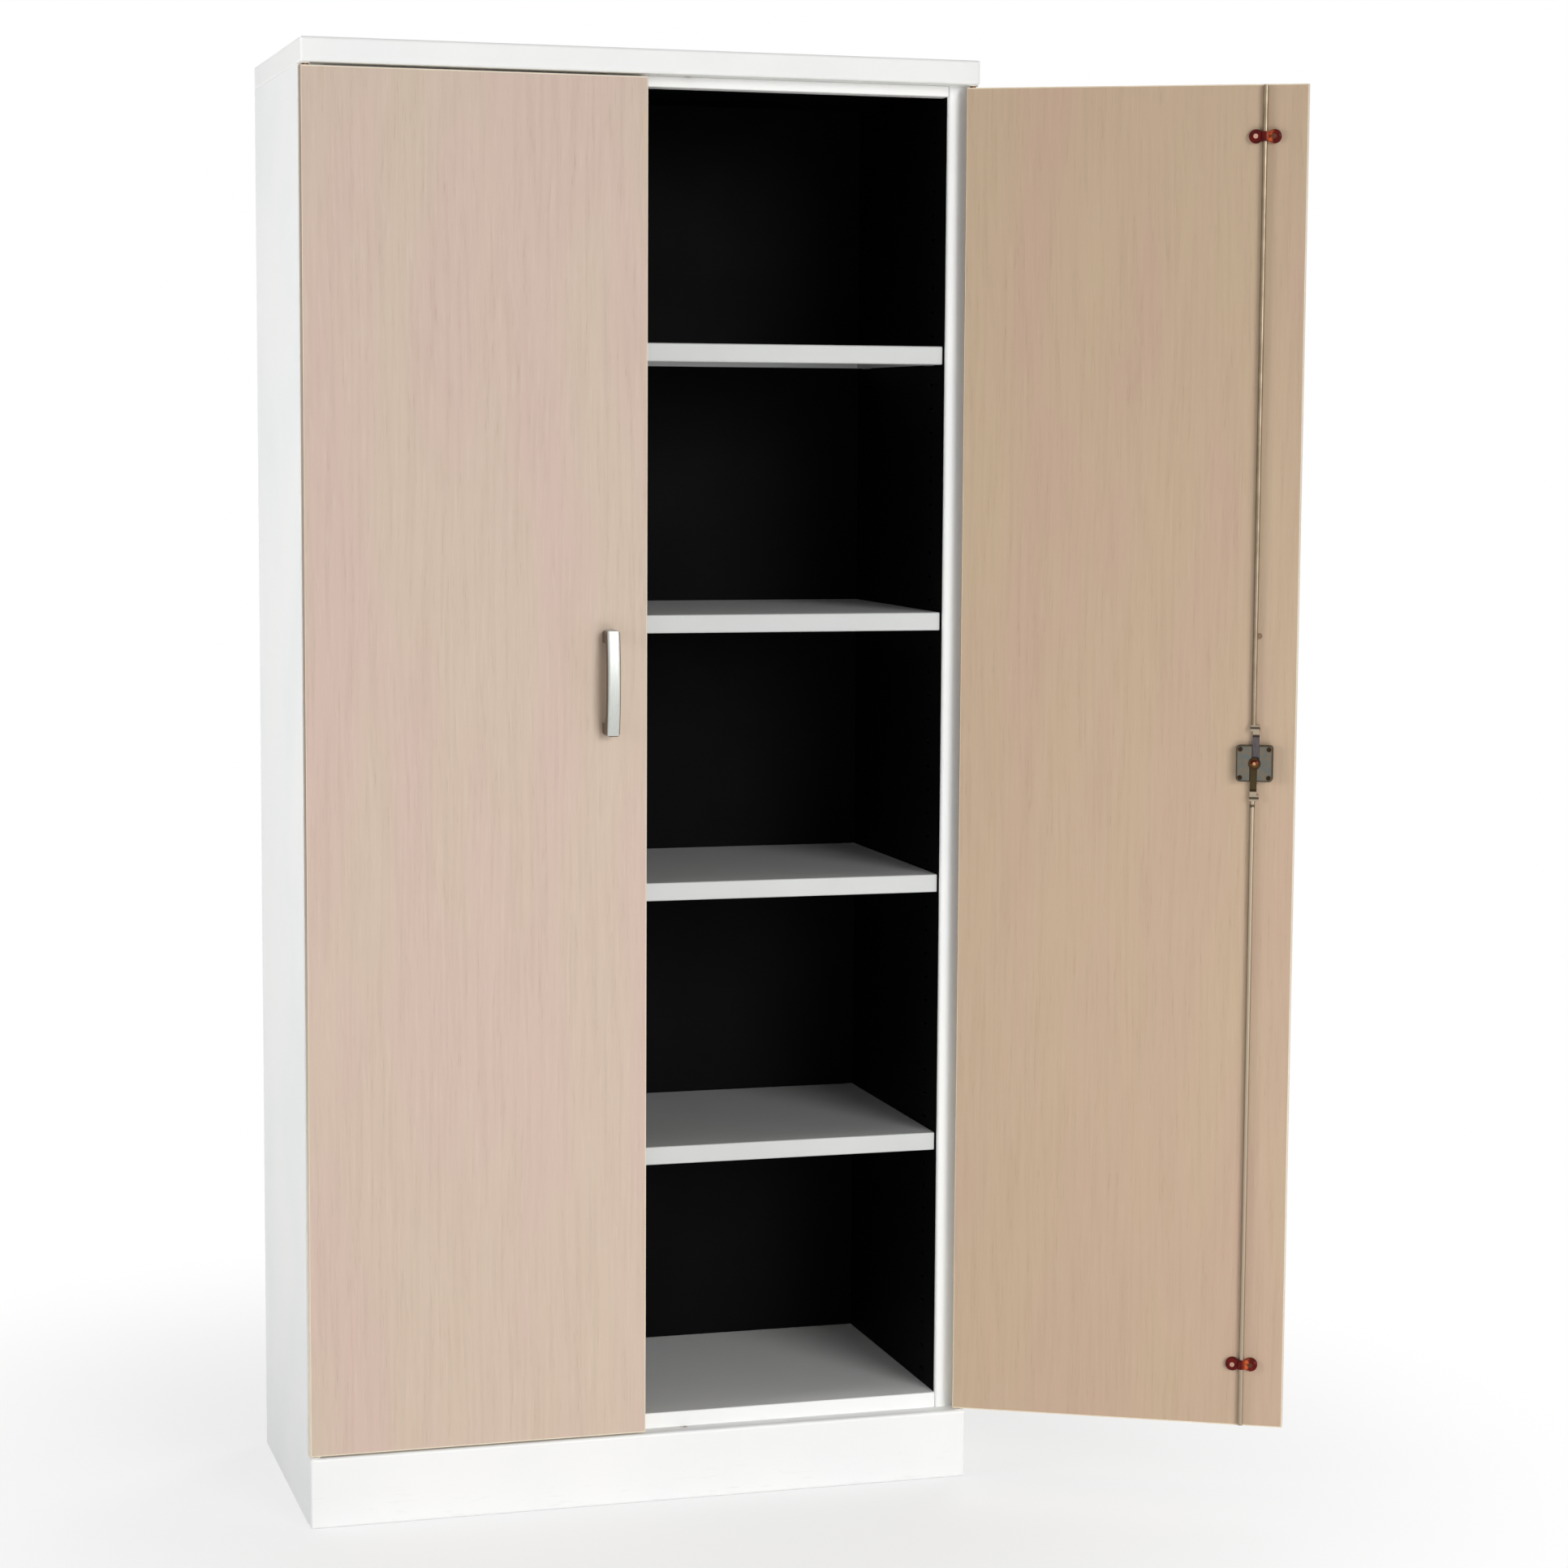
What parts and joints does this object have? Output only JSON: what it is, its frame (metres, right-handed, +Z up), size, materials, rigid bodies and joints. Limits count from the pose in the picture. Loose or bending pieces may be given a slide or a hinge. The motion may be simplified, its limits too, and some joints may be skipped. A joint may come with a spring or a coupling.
{
  "type": "filing cabinet",
  "caption": "Tall two-door steel filing cabinet with oak-faced doors on pivots, bow handles, loose shelves on slotted liners and a lock that drives rods into the cap and plinth.",
  "frame": {"origin": "on the floor under the middle of the carcass, on the underside of the base rail", "axes": "+X right as seen from the front, +Y to the back, +Z up"},
  "size_m": [1.3303, 0.6397, 1.98],
  "materials": {
    "carcass_white": "white powder coat, satin",
    "inner_black": "black powder coat, matt",
    "shelf_grey": "pale grey powder coat, satin",
    "zinc_steel": "zinc plated, satin",
    "white_nylon": "moulded nylon, matt",
    "oak_board": "pale oak foil on particle board, fine upright grain",
    "cream_edging": "cream ABS edging",
    "handle_satin": "satin",
    "lock_zinc": "grey zinc, worn edges",
    "dark_screw": "brown passivated",
    "nickel": "nickel plated",
    "brown_gloss": "red brown moulding, glossy",
    "brass": "plain brass"
  },
  "bodies": {
    "carcass": {"left_side_panel": "carcass_white", "right_side_panel": "carcass_white", "back_panel": "carcass_white", "top_cap": "carcass_white", "plinth": "carcass_white", "base_rail": "zinc_steel", "bottom_shelf": "carcass_white", "top_rail": "carcass_white", "ceiling_panel": "inner_black", "left_liner": "inner_black", "right_liner": "inner_black", "back_liner": "inner_black", "shelf_1": "shelf_grey", "shelf_2": "shelf_grey", "shelf_3": "shelf_grey", "shelf_4": "shelf_grey", "shelf_clips": "zinc_steel", "pivot_bushes": "white_nylon", "strike_bushes": "white_nylon"},
    "left_door": {"left_door_panel": "oak_board", "left_door_edging": "cream_edging", "left_handle": "handle_satin", "left_handle_screws": "zinc_steel", "left_pivot_pins": "zinc_steel", "bolt_housings": "zinc_steel", "bolt_screws": "zinc_steel"},
    "upper_bolt": {"upper_bolt": "zinc_steel"},
    "lower_bolt": {"lower_bolt": "zinc_steel"},
    "right_door": {"right_door_panel": "oak_board", "right_door_edging": "cream_edging", "right_handle": "handle_satin", "right_handle_screws": "zinc_steel", "right_pivot_pins": "zinc_steel", "lock_case": "lock_zinc", "lock_screws": "dark_screw", "lock_cylinder": "nickel", "upper_rod_guide": "brown_gloss", "lower_rod_guide": "brown_gloss", "guide_screws": "zinc_steel"},
    "lock_turn": {"lock_hub": "lock_zinc", "hub_boss": "brass", "key_plug": "brass", "key": "nickel"},
    "upper_rod": {"upper_rod": "zinc_steel", "upper_rod_link": "zinc_steel"},
    "lower_rod": {"lower_rod": "zinc_steel", "lower_rod_link": "zinc_steel"}
  },
  "joints": [
    {"name": "left_door_hinge", "type": "hinge", "parent": "carcass", "child": "left_door", "pos_m": [-0.4575, -0.206, 0.99], "axis": [0, 0, -1], "range_deg": [0, 175]},
    {"name": "right_door_hinge", "type": "hinge", "parent": "carcass", "child": "right_door", "pos_m": [0.4575, -0.206, 0.99], "axis": [0, 0, 1], "range_deg": [-152.4, 22.6]},
    {"name": "lock_turn", "type": "hinge", "parent": "right_door", "child": "lock_turn", "pos_m": [0.8087, -0.39976, 1.028], "axis": [-0.4633, -0.8862, 0], "range_deg": [0, 90]},
    {"name": "upper_rod_slide", "type": "slide", "parent": "right_door", "child": "upper_rod", "axis": [0, 0, 1], "range_m": [0, 0.01556]},
    {"name": "lower_rod_slide", "type": "slide", "parent": "right_door", "child": "lower_rod", "axis": [0, 0, -1], "range_m": [0, 0.01556]},
    {"name": "upper_bolt_slide", "type": "slide", "parent": "left_door", "child": "upper_bolt", "axis": [0, 0, 1], "range_m": [0, 0.014]},
    {"name": "lower_bolt_slide", "type": "slide", "parent": "left_door", "child": "lower_bolt", "axis": [0, 0, -1], "range_m": [0, 0.014]}
  ],
  "couplings": [
    {"joint": "lock_turn", "follows": "upper_rod_slide", "rad_per_m": 100.98},
    {"joint": "lower_rod_slide", "follows": "upper_rod_slide", "ratio": 1}
  ]
}
